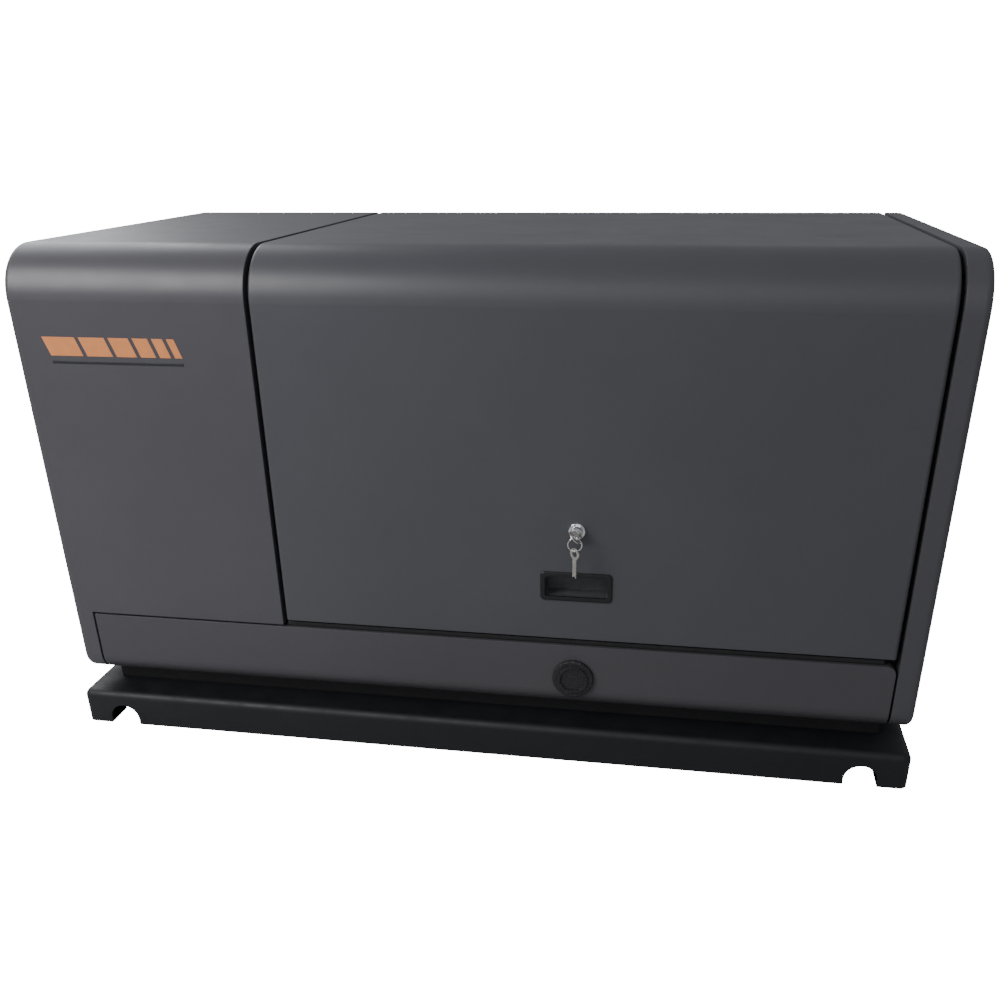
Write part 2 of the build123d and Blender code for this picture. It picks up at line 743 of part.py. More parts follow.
def make_cable_plug():
    z = cable_plug_z
    flange = bar_y(front - 5, front, cable_plug_x, z, cable_plug_radius)
    flange = fillet(flange.faces().sort_by(Axis.Y)[0].edges(), 2.5)
    ring = bar_y(front - 7, front - 4, cable_plug_x, z, cable_plug_radius - 8)
    ring -= bar_y(front - 8, front - 5, cable_plug_x, z, cable_plug_radius - 11)
    body = bar_y(front, front + 12, cable_plug_x, z, cable_plug_radius - 8)
    body -= bar_y(front + 2, front + 13, cable_plug_x, z, cable_plug_radius - 11)
    return flange + ring + body


# ---- lock, keys and latch -----------------------------------------------------------------------
def at_lock(shape):
    return Pos(lock_x, 0, lock_z) * Rot(0, key_tilt, 0) * shape


def key_blade(y0, y1, width):
    return block(-key_thickness / 2, key_thickness / 2, y0, y1, -width / 2, width / 2)


def make_lock_barrel():
    y0 = front - lock_proud
    barrel = bar_y(y0, front + 24, lock_x, lock_z, lock_barrel_radius)
    barrel = chamfer(barrel.faces().sort_by(Axis.Y)[0].edges(), 1.2)
    collar = bar_y(front - 3.5, front, lock_x, lock_z, lock_collar_radius)
    collar = fillet(collar.faces().sort_by(Axis.Y)[0].edges(), 1.2)
    barrel = barrel + collar - bar_y(y0 - 1, front + 25, lock_x, lock_z, plug_radius + running_gap)
    nut_face = Plane(origin=(lock_x, front + skin, lock_z), z_dir=(0, 1, 0))
    nut = extrude(nut_face * RegularPolygon(13, 6), amount=5)
    nut -= bar_y(front, front + 10, lock_x, lock_z, lock_barrel_radius)
    return Compound(children=[barrel, nut])


def make_lock_plug():
    core = bar_y(front - lock_proud - 0.5, front + 27, 0, 0, plug_radius)
    core -= key_blade(front - lock_proud - 1, front + 8, 7)
    core = at_lock(core)
    reach = cam_pin_reach * cos(radians(45))
    pin_x = lock_x + reach
    pin_z = lock_z + reach
    cam = bar_y(front + 24.3, front + 27, lock_x, lock_z, 8)
    cam += bar_y(front + 24.3, front + 27, pin_x, pin_z, 4.5)
    pin = bar_y(front + 24.3, front + 37, pin_x, pin_z, latch_pin_radius)
    return core + cam + pin


def make_key():
    disc = Cylinder(bow_radius, key_thickness) - Cylinder(bow_hole_radius, 5)
    bow = Pos(0, bow_y, 0) * Rot(0, 90, 0) * disc
    neck = key_blade(bow_y + bow_hole_radius + 1, front - lock_proud - 0.5, 9)
    blade = key_blade(front - lock_proud - 1, front + 8, 7)
    return at_lock(bow + neck + blade)


def make_key_ring():
    return Pos(lock_x, bow_y, ring_top - ring_radius) * Rot(90, 0, 0) * Torus(ring_radius, ring_wire_radius)


def make_spare_key():
    hole_z = ring_bottom - (bow_hole_radius - ring_wire_radius) + 0.3
    half = spare_thickness / 2
    bow = Rot(0, 90, 0) * (Cylinder(8, spare_thickness) - Cylinder(bow_hole_radius, 5))
    blade = block(-half, half, -3.2, 3.2, -spare_length, -6)
    tip = Pos(0, 0, -spare_length) * Rot(45, 0, 0) * Box(4, 5, 5)
    return Pos(lock_x, bow_y, hole_z) * Rot(0, 0, spare_turn) * (bow + (blade - tip))


def make_latch_rod():
    reach = cam_pin_reach * cos(radians(45))
    pin_z = lock_z + reach
    y0 = front + 32.5
    half_slot = latch_pin_radius + slot_gap
    slot_left = lock_x + reach - half_slot
    slot_right = lock_x + cam_pin_reach + half_slot
    head = block(slot_left - 3, slot_right + 3, y0, y0 + 6, pin_z - 9, pin_z + 6)
    head -= block(slot_left, slot_right, y0 - 1, y0 + 7, pin_z - half_slot, pin_z + half_slot)
    rod = bar_z(beam_top + 6, pin_z - 5, latch_x, latch_y, latch_rod_radius)
    rod = chamfer(rod.faces().sort_by(Axis.Z)[0].edges(), 1.5)
    return head + rod


# ---- engine -------------------------------------------------------------------------------------
def on_bank(shape, side):
    return Pos(0, crank_y, crank_z) * Rot(-side * cylinder_tilt, 0, 0) * shape


def make_crankcase():
    side = case_half_width
    lean = case_lean
    top = case_top
    low = -case_depth
    points = [(-side, low + 20), (-side, lean - side), (-(lean - top), top), (lean - top, top),
              (side, lean - side), (side, low + 20), (side - 15, low), (-side + 15, low)]
    face = make_face(Polyline(*[(crank_y + y, crank_z + z) for y, z in points], close=True))
    case = extrude(Plane.YZ.offset(case_left) * face, amount=case_right - case_left, dir=(1, 0, 0))
    case = fillet(edges_along(case, Axis.X), 6)
    case -= bar_x(case_left + 18, case_right - 18, crank_y, crank_z, 62)
    case += block(case_left + 10, case_right - 10, crank_y - bed_half_width, crank_y + bed_half_width,
                  bed_top, bed_top + 12)
    case += block(dip_x - 12, case_right, dip_y - 12, crank_y - side + 1, dip_low, dip_low + 30)
    case += bar_z(dip_low, dip_high, dip_x, dip_y, dip_radius + 3)
    case -= bar_z(dip_low + 5, dip_high + 1, dip_x, dip_y, dip_radius + running_gap)
    return case - bar_x(case_left - 1, case_right + 1, crank_y, crank_z, shaft_radius + running_gap)


def make_dipstick():
    stick = bar_z(dip_low + 8, dip_high + 1, dip_x, dip_y, dip_radius)
    cap = bar_z(dip_high, dip_high + 8, dip_x, dip_y, 9)
    loop = Pos(dip_x, dip_y, dip_high + 18) * Rot(90, 0, 0) * Torus(9, 2)
    return stick + cap + loop


def make_cylinders():
    half = fin_size / 2
    barrel = bar_z(case_face, head_low, cylinder_x, 0, 48)
    for i in range(9):
        z = case_face + 12 + i * 12
        barrel += block(cylinder_x - half, cylinder_x + half, -half, half, z, z + 3)
    head = block(cylinder_x - half + 2, cylinder_x + half - 2, -half + 2, half - 2, head_low, head_high)
    for i in range(3):
        z = head_low + 10 + i * 11
        for side in (-1, 1):
            head -= block(cylinder_x - half, cylinder_x + half, side * (half - 10), side * (half + 1),
                          z, z + 6)
    plug = bar_x(cylinder_x + half - 2, cylinder_x + half + 22, 18, head_middle, 7)
    one = barrel + head + plug
    return Compound(children=[on_bank(one, side) for side in (-1, 1)])


def make_rocker_covers():
    cover = block(cylinder_x - 48, cylinder_x + 48, -40, 40, head_high, head_high + 30)
    cover = fillet(edges_along(cover, Axis.Z), 12)
    cover = fillet(cover.faces().sort_by(Axis.Z)[-1].edges(), 8)
    return Compound(children=[on_bank(cover, side) for side in (-1, 1)])


def make_crankshaft():
    return bar_x(case_left - 60, alternator_right - 6, crank_y, crank_z, shaft_radius)


def make_flywheel_fan():
    wheel = bar_x(case_left - 22, case_left - 16, crank_y, crank_z, fan_radius)
    wheel += bar_x(case_left - 56, case_left - 16, crank_y, crank_z, 34)
    blade = block(case_left - 52, case_left - 21, -2, 2, 50, fan_radius - 1)
    for i in range(fan_blades):
        wheel += Pos(0, crank_y, crank_z) * Rot(i * 360 / fan_blades, 0, 0) * blade
    return wheel - bar_x(case_left - 60, case_left, crank_y, crank_z, shaft_radius)


def make_blower_housing():
    x0 = case_left - blower_depth
    drum = bar_x(x0, case_left, crank_y, crank_z, blower_radius)
    drum -= bar_x(x0 + 2, case_left - 6, crank_y, crank_z, blower_radius - 3)
    drum -= bar_x(x0 - 1, x0 + 3, crank_y, crank_z, 84)
    drum -= bar_x(case_left - 7, case_left + 1, crank_y, crank_z, 90)
    for i in range(3):
        grille = block(x0, x0 + 2, -3, 3, -100, 100)
        drum += Pos(0, crank_y, crank_z) * Rot(i * 60, 0, 0) * grille
    for radius in (30, 58):
        ring = bar_x(x0, x0 + 2, crank_y, crank_z, radius + 3)
        drum += ring - bar_x(x0 - 1, x0 + 3, crank_y, crank_z, radius)
    return drum


def make_gas_mixer():
    body = bar_z(mixer_low, mixer_high, cylinder_x, crank_y, 26)
    body += bar_z(mixer_high - 6, mixer_high, cylinder_x, crank_y, 36)
    runner = bar_y(crank_y - cylinder_rise, crank_y + cylinder_rise, cylinder_x, runner_z, 13)
    half = fin_size / 2
    for side in (-1, 1):
        trim = (-half + 2, half) if side > 0 else (-half, half - 2)
        envelope = block(cylinder_x - half, cylinder_x + half, *trim, case_face, head_high + 72)
        runner -= on_bank(envelope, side)
    inlet = bar_x(cylinder_x, cylinder_x + 32, crank_y, runner_z - 8, 12)
    return body + runner + inlet


def make_air_cleaner():
    x0 = cylinder_x - air_cleaner_length / 2
    x1 = cylinder_x + air_cleaner_length / 2
    half = air_cleaner_depth / 2
    box = block(x0, x1, crank_y - half, crank_y + half, mixer_high, air_cleaner_high)
    box = fillet(edges_along(box, Axis.Z), 20)
    box = fillet(box.faces().sort_by(Axis.Z)[-1].edges(), 10)
    seam = mixer_high + air_cleaner_height / 2
    groove = block(x0 - 1, x1 + 1, crank_y - half - 1, crank_y + half + 1, seam - 1.5, seam + 1.5)
    core = block(x0 + 3, x1 - 3, crank_y - half + 3, crank_y + half - 3, seam - 2.5, seam + 2.5)
    return box - (groove - core)


def make_muffler():
    x = muffler_x
    flange_x = cylinder_x - fin_size / 2 + 2
    can = bar_y(crank_y - 200, exhaust_y + 30, x, muffler_z, muffler_radius)
    can = fillet(can.edges().filter_by(GeomType.CIRCLE), 14)
    for side in (-1, 1):
        y = crank_y + side * cylinder_rise
        can += bar_x(x, flange_x, y, muffler_z, 16)
        can += bar_x(flange_x - 8, flange_x, y, muffler_z, 24)
    for y in (crank_y - 130, crank_y + 180):
        can += block(x - 12, x + 12, y - 15, y + 15, floor_top, muffler_z)
    inside = bar_y(crank_y - 190, exhaust_y + 26, x, muffler_z, muffler_radius - muffler_wall)
    can -= inside & block(-half_width, 0, -half_depth, half_depth, muffler_z - 60, overall_height)
    can += bar_x(-half_width - base_end_reach / 2, x - 40, exhaust_y, muffler_z, exhaust_radius)
    return can - bar_x(-half_width - base_end_reach, x - 50, exhaust_y, muffler_z,
                       exhaust_radius - exhaust_wall)


def make_starter():
    y = starter_y
    z = starter_z
    motor = bar_x(case_left + 10, case_left + 140, y, z, 34)
    motor = fillet(motor.edges().filter_by(GeomType.CIRCLE), 5)
    motor += bar_x(case_left + 20, case_left + 100, y + 8, z + 45, 17)
    motor += block(case_left + 40, case_left + 90, crank_y + case_half_width, y, z - 15, z + 17)
    motor += block(case_left + 50, case_left + 70, y - 5, y + 12, z, z + 45)
    return motor + bar_x(case_left + 140, case_left + 156, y, z, 6)


def make_oil_filter():
    z = crank_z - oil_filter_drop
    back = crank_y - case_half_width
    can = bar_y(back - 80, back - 2, oil_filter_x, z, 36)
    can = fillet(can.faces().sort_by(Axis.Y)[0].edges(), 8)
    return can + bar_y(back - 2, back, oil_filter_x, z, 28)


# ---- alternator ---------------------------------------------------------------------------------
def make_alternator_housing():
    drum = bar_x(case_right, alternator_right, crank_y, crank_z, alternator_radius)
    foot = block(60, 240, crank_y - bed_half_width, crank_y + bed_half_width, bed_top, bed_top + 24)
    box = block(terminal_box_x - 40, terminal_box_x + 40, crank_y - 40, crank_y + 40,
                crank_z + stator_outer, crank_z + terminal_box_top)
    drum = drum + foot + fillet(edges_along(box, Axis.Z), 6)
    drum -= bar_x(case_right + 6, alternator_right - 12, crank_y, crank_z, stator_outer)
    drum -= bar_x(case_right - 1, case_right + 7, crank_y, crank_z, 84)
    slot = block(alternator_right - 14, alternator_right + 1, -7, 7, 45, 95)
    for i in range(12):
        drum -= Pos(0, crank_y, crank_z) * Rot(i * 30, 0, 0) * slot
    return drum - bar_x(case_right, alternator_right + 1, crank_y, crank_z, shaft_radius + running_gap)


def make_stator():
    core = bar_x(stator_left, stator_right, crank_y, crank_z, stator_outer)
    return core - bar_x(stator_left - 1, stator_right + 1, crank_y, crank_z, stator_radius)


def make_rotor():
    core = bar_x(stator_left + 5, stator_right - 5, crank_y, crank_z, rotor_radius)
    return core - bar_x(stator_left, stator_right, crank_y, crank_z, shaft_radius)


def make_engine_bed():
    reach = bed_half_width
    bed = block(bed_left, bed_right, crank_y - reach, crank_y - reach + bed_rail_width, bed_low, bed_top)
    bed += block(bed_left, bed_right, crank_y + reach - bed_rail_width, crank_y + reach, bed_low, bed_top)
    for x in (bed_left, bed_right - bed_rail_width):
        bed += block(x, x + bed_rail_width, crank_y - reach, crank_y + reach, bed_low, bed_top - 8)
    return bed


def make_vibration_mounts():
    mounts = []
    spread = bed_half_width - bed_rail_width / 2
    for x in (bed_left + bed_rail_width, bed_right - bed_rail_width):
        for side in (-1, 1):
            mounts.append(bar_z(floor_top, bed_low, x, crank_y + side * spread, mount_radius))
    return Compound(children=mounts)


# ---- battery, gas and electrics -----------------------------------------------------------------
def make_battery():
    lid_low = battery_top - battery_lid
    case = block(battery_left, battery_right, battery_front, battery_back, floor_top, lid_low)
    case = fillet(edges_along(case, Axis.Z), 6)
    lid = block(battery_left - 2, battery_right + 2, battery_front - 2, battery_back + 2,
                lid_low, battery_top)
    lid = fillet(edges_along(lid, Axis.Z), 7)
    battery = case + lid
    for x in (battery_left + post_inset, battery_right - post_inset):
        battery += bar_z(battery_top, battery_top + post_height, x, battery_front + post_back, 8)
    return battery


def lead(points, bend, radius):
    path = FilletPolyline(*points, radius=bend)
    start = Plane(origin=path @ 0, z_dir=path % 0)
    return sweep(start * Circle(radius), path=path)


def make_battery_leads():
    top = battery_top + post_height
    y = battery_front + post_back
    back = lead_back
    high = top + lead_rise
    red_x = battery_left + post_inset
    black_x = battery_right - post_inset
    drop_x = case_right + 10
    red = lead([(red_x, y, top), (red_x, y, high), (red_x, back, high), (drop_x, back, high),
                (drop_x, back, starter_z + 25), (drop_x, starter_y, starter_z),
                (case_left + 156, starter_y, starter_z)], 18, lead_radius)
    low = high - 20
    black = lead([(black_x, y, top), (black_x, y, low), (alternator_right, y, low)], 20, lead_radius)
    return Compound(children=[red, black])


def make_gas_inlet():
    y = gas_inlet_y
    z = gas_inlet_z
    x1 = base_half_width
    valve = gas_valve_x
    pipe = bar_x(gas_pipe_left, x1 - 28, y, z, gas_pipe_radius) + bar_x(x1 - 28, x1, y, z, gas_socket_radius)
    pipe += block(valve - 18, valve + 18, y - 18, y + 18, z - 18, z + 18)
    pipe += bar_z(z + 18, z + 24, valve, y, 9)
    pipe -= bar_x(x1 - gas_thread_length, x1 + 1, y, z, gas_thread_radius)
    return pipe - bar_z(z + 4, z + 30, valve, y, 4 + running_gap)


def make_gas_lever():
    z = gas_inlet_z + 24.5
    valve = gas_valve_x
    stem = bar_z(gas_inlet_z + 5, z + 4, valve, gas_inlet_y, 4)
    handle = block(valve - 66, valve, gas_inlet_y - 8, gas_inlet_y + 8, z, z + 4)
    handle += bar_z(z, z + 4, valve, gas_inlet_y, 11)
    return stem + fillet(edges_along(handle, Axis.Z).sort_by(Axis.X)[:2], 6)


def make_gas_regulator():
    y = gas_inlet_y
    x = regulator_x
    z = regulator_z
    disc = bar_y(y - 24, y + 10, x, z, regulator_radius)
    disc = fillet(disc.edges().filter_by(GeomType.CIRCLE), 4)
    disc += bar_y(y - 28, y - 22, x, z, 22)
    disc += block(x + 30, gas_pipe_left, y - 16, y + 16, gas_inlet_z - 16, gas_inlet_z + 16)
    disc += block(x - 50, x - 28, y - 31, y + 1, z - 16, z + 16)
    return disc + block(x - 20, x + 20, y - 20, y + 8, floor_top, z - regulator_radius + 8)


def make_gas_hose():
    y = gas_inlet_y - 15
    x = hose_x
    low = regulator_z
    high = runner_z - 8
    points = [(regulator_x - 50, y, low), (x, y, low), (x, y, high), (x, crank_y, high),
              (cylinder_x + 32, crank_y, high)]
    return lead(points, 50, hose_radius)


def make_wiring():
    x = terminal_box_x
    points = [(box_left, wire_y, wire_z), (x, wire_y, wire_z), (x, crank_y, wire_z),
              (x, crank_y, crank_z + terminal_box_top)]
    return lead(points, 24, wire_radius)


def make_control_box():
    wall = box_wall
    case = block(box_left, box_right, box_front, box_back, box_low, box_high)
    case = fillet(edges_along(case, Axis.Z), 5)
    case -= block(box_left + wall, box_right - wall, box_front + wall, box_back - wall,
                  box_low + wall, box_high - wall)
    for x in (box_left + 15, box_right - 35):
        case += block(x, x + 20, hoop_front + 2, hoop_front + 14.5, beam_top, box_low)
        case += block(x, x + 20, hoop_front + 2, box_front + wall, box_low, box_low + 20)
    for x in button_x:
        case -= bar_y(box_front - 1, box_front + 3, x, button_z, button_radius + button_gap)
    half = breaker_half_width
    return case - block(breaker_x - half, breaker_x + half, box_front - 1, box_front + 3,
                        breaker_z - breaker_half_height, breaker_z + breaker_half_height)


def make_display():
    return block(display_left, display_right, box_front - 3, box_front, display_low, display_high)


def make_breaker():
    half = breaker_half_width
    slot = toggle_width / 2 + 1
    body = block(breaker_x - half, breaker_x + half, box_front - 8, box_front + 50,
                 breaker_z - breaker_half_height, breaker_z + breaker_half_height)
    body -= block(breaker_x - slot, breaker_x + slot, box_front - 9, box_front + 9,
                  breaker_z - 17, breaker_z + 17)
    return body + bar_x(breaker_x - slot - 1, breaker_x + slot + 1, box_front, breaker_z, toggle_pin_radius)


def make_breaker_toggle():
    left = breaker_x - toggle_width / 2
    right = breaker_x + toggle_width / 2
    lever = bar_x(left, right, 0, 0, 6) + block(left, right, -20, 0, -3.5, 3.5)
    toggle = Rot(toggle_angle, 0, 0) * lever
    toggle -= bar_x(left - 1, right + 1, 0, 0, toggle_pin_radius + running_gap)
    return Pos(0, box_front, breaker_z) * toggle


def make_button(x):
    stem = bar_y(box_front - 5, box_front + 2, x, button_z, button_radius)
    stem = fillet(stem.faces().sort_by(Axis.Y)[0].edges(), 1)
    collar = bar_y(box_front + box_wall + 0.1, box_front + 4.5, x, button_z, button_radius + 2)
    return stem + collar + bar_y(box_front + 1, box_front + 3, x, button_z, button_radius - 1)


holes = screw_holes()
left_cover = make_left_cover() - holes
right_cap = make_right_cap() - [mirror(hole, about=Plane.YZ) for hole in holes]
left_panel = side_panel() - holes

nodes = {
    "base_tray": make_base_tray(),
    "base_cross_members": make_cross_members(),
    "plinth_frame": make_plinth_frame(),
    "floor_pan": make_floor_pan(),
    "left_cover": left_cover,
    "right_end_cap": right_cap,
    "left_louvre_panel": left_panel,
    "right_louvre_panel": mirror(left_panel, about=Plane.YZ),
    "rear_panel": make_rear_panel(),
    "front_sill": make_front_sill(),
    "panel_screws": make_panel_screws(),
    "opening_frame": make_opening_frame(),
    "bulkhead": make_bulkhead(),
    "hood_seal": make_hood_seal(),
    "hinge_fixed_leaf": make_fixed_leaf(),
    "hinge_pin": make_hinge_pin(),
    "cable_plug": make_cable_plug(),
    "hood_skin": make_hood_skin(),
    "hood_liner": make_hood_liner(),
    "hinge_moving_leaf": make_moving_leaf(),
    "flush_pull": make_flush_pull(),
    "lock_barrel": make_lock_barrel(),
    "lock_plug": make_lock_plug(),
    "key": make_key(),
    "key_ring": make_key_ring(),
    "spare_key": make_spare_key(),
    "latch_rod": make_latch_rod(),
    "strut_tubes": make_strut_tubes(),
    "strut_rods": make_strut_rods(),
    "crankcase": make_crankcase(),
    "dipstick": make_dipstick(),
    "cylinders": make_cylinders(),
    "rocker_covers": make_rocker_covers(),
    "crankshaft": make_crankshaft(),
    "flywheel_fan": make_flywheel_fan(),
    "blower_housing": make_blower_housing(),
    "gas_mixer": make_gas_mixer(),
    "air_cleaner": make_air_cleaner(),
    "muffler": make_muffler(),
    "starter_motor": make_starter(),
    "oil_filter": make_oil_filter(),
    "alternator_housing": make_alternator_housing(),
    "alternator_stator": make_stator(),
    "alternator_rotor": make_rotor(),
    "engine_bed": make_engine_bed(),
    "vibration_mounts": make_vibration_mounts(),
    "battery": make_battery(),
    "battery_leads": make_battery_leads(),
    "gas_inlet_pipe": make_gas_inlet(),
    "gas_valve_lever": make_gas_lever(),
    "gas_regulator": make_gas_regulator(),
    "gas_hose": make_gas_hose(),
    "control_box": make_control_box(),
    "display": make_display(),
    "output_breaker": make_breaker(),
    "breaker_toggle": make_breaker_toggle(),
    "start_button": make_button(button_x[0]),
    "stop_button": make_button(button_x[1]),
    "auto_button": make_button(button_x[2]),
    "wiring_lead": make_wiring(),
}
for name, shape in nodes.items():
    save(shape, name)
print(len(nodes), "nodes")
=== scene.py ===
import json
from math import radians

import bpy
from mathutils import Euler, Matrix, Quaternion, Vector


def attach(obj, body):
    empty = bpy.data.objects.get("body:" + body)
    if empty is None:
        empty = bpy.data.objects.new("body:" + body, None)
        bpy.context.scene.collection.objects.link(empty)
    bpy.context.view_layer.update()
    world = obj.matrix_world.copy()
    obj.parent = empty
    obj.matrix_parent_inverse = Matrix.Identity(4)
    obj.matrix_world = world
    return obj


# looks for the standby generator: camera and light first, then finishes, then the added pieces
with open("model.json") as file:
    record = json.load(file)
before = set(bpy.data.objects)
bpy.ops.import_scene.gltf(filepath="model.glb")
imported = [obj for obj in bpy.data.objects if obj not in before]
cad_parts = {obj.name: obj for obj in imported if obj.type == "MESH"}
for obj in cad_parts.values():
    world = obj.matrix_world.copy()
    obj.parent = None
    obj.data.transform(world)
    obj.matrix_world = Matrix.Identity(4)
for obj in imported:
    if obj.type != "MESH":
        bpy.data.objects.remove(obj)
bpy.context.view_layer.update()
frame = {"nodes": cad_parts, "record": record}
nodes = frame["nodes"]
bpy.ops.object.select_all(action="DESELECT")
print("frame loaded:", len(nodes), "nodes")


# ---- camera and studio
cameraView = {
    "place": (0.2695, -1.5106, 0.8061),
    "down": 26.07,              # degrees below level
    "left": 9.85,               # degrees turned to the left
    "roll": -0.68,
    "lens": 35.98,
    "shiftX": -0.0133,
    "shiftY": 0.1218,
    "nearest": 0.02,
}


def addCamera():
    data = bpy.data.cameras.new("studioCamera")
    camera = bpy.data.objects.new("studioCamera", data)
    bpy.context.scene.collection.objects.link(camera)
    aim = Euler((radians(90 - cameraView["down"]), 0, radians(cameraView["left"])))
    camera.rotation_mode = "QUATERNION"
    camera.rotation_quaternion = aim.to_quaternion() @ Quaternion((0, 0, 1), radians(cameraView["roll"]))
    camera.location = cameraView["place"]
    data.lens = cameraView["lens"]
    data.shift_x = cameraView["shiftX"]
    data.shift_y = cameraView["shiftY"]
    data.clip_start = cameraView["nearest"]
    bpy.context.scene.camera = camera


studio = {
    "floorSize": 14.0,
    "floorColor": (0.5, 0.5, 0.51, 1),
    "floorRough": 0.9,
    "skyColor": (0.93, 0.95, 1.0, 1),
    "skyStrength": 0.32,
    "whiteStrength": 18.0,      # how bright the paper and the backdrop look to the camera alone
    "lamps": [
        # place, aim, size, power, tint
        ((-1.35, -1.5, 1.6), (-0.4, -0.28, 0.5), 1.0, 34.0, (1.0, 0.985, 1.0)),
        ((0.2, -3.4, 2.2), (0.1, -0.3, 0.3), 2.2, 16.0, (0.97, 0.98, 1.0)),
        ((-2.4, 1.6, 2.2), (-0.5, 0.0, 0.6), 2.0, 52.0, (0.96, 0.97, 1.0)),
    ],
}


def addLamp(index, place, aim, size, power, tint):
    data = bpy.data.lights.new("softbox%d" % index, "AREA")
    data.shape = "SQUARE"
    data.size = size
    data.energy = power
    data.color = tint
    lamp = bpy.data.objects.new("softbox%d" % index, data)
    lamp.location = place
    lamp.rotation_euler = (Vector(aim) - Vector(place)).to_track_quat("-Z", "Y").to_euler()
    lamp.visible_camera = False
    bpy.context.scene.collection.objects.link(lamp)


def whiteForCamera(tree, shader, output):
    # the paper stays plain white in view while the cabinet is lit only softly by it
    path = tree.nodes.new("ShaderNodeLightPath")
    glow = tree.nodes.new("ShaderNodeMath")
    glow.operation = "MULTIPLY"
    glow.inputs[1].default_value = studio["whiteStrength"]
    tree.links.new(path.outputs["Is Camera Ray"], glow.inputs[0])
    white = tree.nodes.new("ShaderNodeEmission")
    tree.links.new(glow.outputs["Value"], white.inputs["Strength"])
    both = tree.nodes.new("ShaderNodeAddShader")
    tree.links.new(shader.outputs[0], both.inputs[0])
    tree.links.new(white.outputs["Emission"], both.inputs[1])
    tree.links.new(both.outputs["Shader"], output.inputs["Surface"])


def addFloor():
    bpy.ops.mesh.primitive_plane_add(size=studio["floorSize"], location=(0, 0, 0))
    floor = bpy.context.object
    floor.name = "studioFloor"
    paper = bpy.data.materials.new("studioPaper")
    paper.use_nodes = True
    tree = paper.node_tree
    shader = tree.nodes["Principled BSDF"]
    shader.inputs["Base Color"].default_value = studio["floorColor"]
    shader.inputs["Roughness"].default_value = studio["floorRough"]
    whiteForCamera(tree, shader, tree.nodes["Material Output"])
    floor.data.materials.append(paper)


def addSky():
    world = bpy.data.worlds.new("studioSky")
    world.use_nodes = True
    tree = world.node_tree
    sky = tree.nodes["Background"]
    sky.inputs["Color"].default_value = studio["skyColor"]
    sky.inputs["Strength"].default_value = studio["skyStrength"]
    whiteForCamera(tree, sky, tree.nodes["World Output"])
    bpy.context.scene.world = world


addCamera()
addFloor()
addSky()
for index, lamp in enumerate(studio["lamps"]):
    addLamp(index, *lamp)
bpy.ops.object.select_all(action="DESELECT")
print("camera and studio ready")


# ---- finishes
noiseBand = (0.3, 0.7)          # the part of a noise's range that the colours and gloss are spread over
everyFinish = {
    "wideDetail": 4.0,
    "wideSoft": 0.6,
    "patchRatio": 3.7,          # gloss patches are this much finer than the colour mottling
    "patchDetail": 5.0,
    "patchSoft": 0.65,
    "grainDetail": 2.0,
    "grainSoft": 0.5,
    "coatRough": 0.25,
    "edgeSamples": 4,
}


def newMaterial(name):
    material = bpy.data.materials.new(name)
    material.use_nodes = True
    tree = material.node_tree
    return material, tree, tree.nodes["Principled BSDF"]


def addNode(tree, kind, **settings):
    node = tree.nodes.new(kind)
    for key, value in settings.items():
        if key in node.inputs:
            node.inputs[key].default_value = value
        else:
            setattr(node, key, value)
    return node


def objectPlace(tree):
    return addNode(tree, "ShaderNodeTexCoord").outputs["Object"]


def noise(tree, scale, detail, roughness):
    texture = addNode(tree, "ShaderNodeTexNoise", Scale=scale, Detail=detail, Roughness=roughness)
    tree.links.new(objectPlace(tree), texture.inputs["Vector"])
    return texture.outputs["Fac"]


def shade(color, factor):
    return tuple(min(1.0, c * factor) for c in color) + (1.0,)


def mottled(tree, source, color, depth):
    # the colour, a little darker and a little lighter along the noise
    node = addNode(tree, "ShaderNodeValToRGB")
    for stop, place, factor in zip(node.color_ramp.elements, noiseBand, (1 - depth, 1 + depth)):
        stop.position = place
        stop.color = shade(color, factor)
    tree.links.new(source, node.inputs["Fac"])
    return node.outputs["Color"]


def spread(tree, source, low, high):
    node = addNode(tree, "ShaderNodeMapRange")
    node.inputs["From Min"].default_value = noiseBand[0]
    node.inputs["From Max"].default_value = noiseBand[1]
    node.inputs["To Min"].default_value = low
    node.inputs["To Max"].default_value = high
    tree.links.new(source, node.inputs["Value"])
    return node.outputs["Result"]


def bump(tree, source, height, previous=None):
    node = addNode(tree, "ShaderNodeBump", Strength=1.0, Distance=height)
    tree.links.new(source, node.inputs["Height"])
    if previous is not None:
        tree.links.new(previous, node.inputs["Normal"])
    return node.outputs["Normal"]


def finish(name, color, rough, mottle, grain, metal=0.0, coat=0.0, edge=0.0008):
    # mottle and grain are each a scale and a depth; edge is the radius that sharp edges look rounded to
    material, tree, shader = newMaterial(name)
    wide = noise(tree, mottle[0], everyFinish["wideDetail"], everyFinish["wideSoft"])
    tree.links.new(mottled(tree, wide, color, mottle[1]), shader.inputs["Base Color"])
    patch = noise(tree, mottle[0] * everyFinish["patchRatio"], everyFinish["patchDetail"],
                  everyFinish["patchSoft"])
    tree.links.new(spread(tree, patch, *rough), shader.inputs["Roughness"])
    fine = noise(tree, grain[0], everyFinish["grainDetail"], everyFinish["grainSoft"])
    rounded = None
    if edge:
        rounded = addNode(tree, "ShaderNodeBevel", samples=everyFinish["edgeSamples"], Radius=edge)
        rounded = rounded.outputs["Normal"]
    tree.links.new(bump(tree, fine, grain[1], rounded), shader.inputs["Normal"])
    shader.inputs["Metallic"].default_value = metal
    if coat:
        shader.inputs["Coat Weight"].default_value = coat
        shader.inputs["Coat Roughness"].default_value = everyFinish["coatRough"]
    return material


